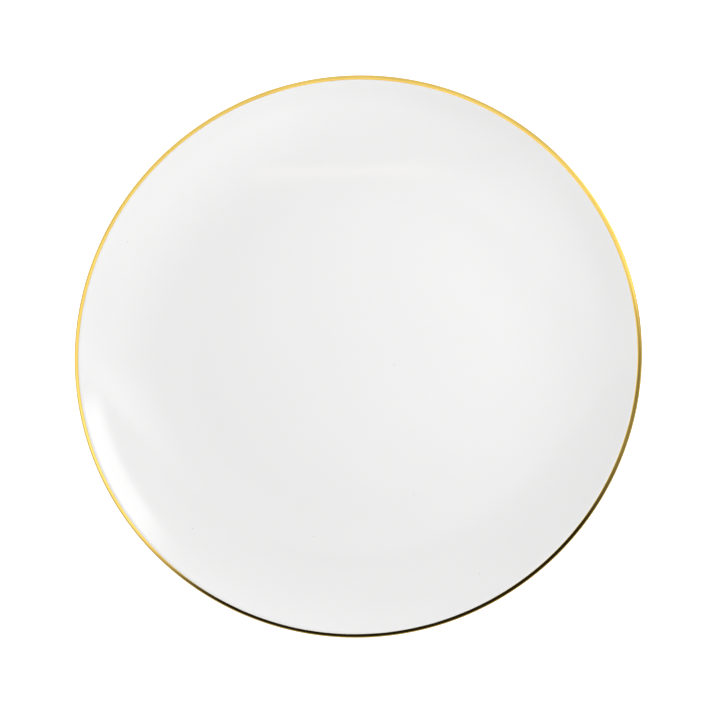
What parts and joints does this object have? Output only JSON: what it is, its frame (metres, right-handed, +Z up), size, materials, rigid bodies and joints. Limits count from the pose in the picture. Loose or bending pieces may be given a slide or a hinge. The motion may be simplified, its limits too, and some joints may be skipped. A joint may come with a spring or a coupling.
{
  "type": "dinner plate",
  "caption": "Rimless coupe dinner plate in white glazed porcelain: flat well, smoothly rising sides, gilded lip line, low foot ring wiped bare of glaze where it stands.",
  "frame": {"origin": "centre of the circle that the foot ring stands on, on the plate's axis, at table level", "axes": "+Z is up along the plate's axis of revolution; +X and +Y are any two level directions square to each other"},
  "size_m": [0.27, 0.27, 0.024],
  "materials": {
    "bare_porcelain": "matte",
    "white_glaze": "gloss",
    "burnished_gold": "polished"
  },
  "bodies": {
    "root": {"porcelain_body": "bare_porcelain", "outer_glaze_coat": "white_glaze", "foot_recess_glaze": "white_glaze", "gold_rim_band": "burnished_gold"}
  },
  "joints": []
}
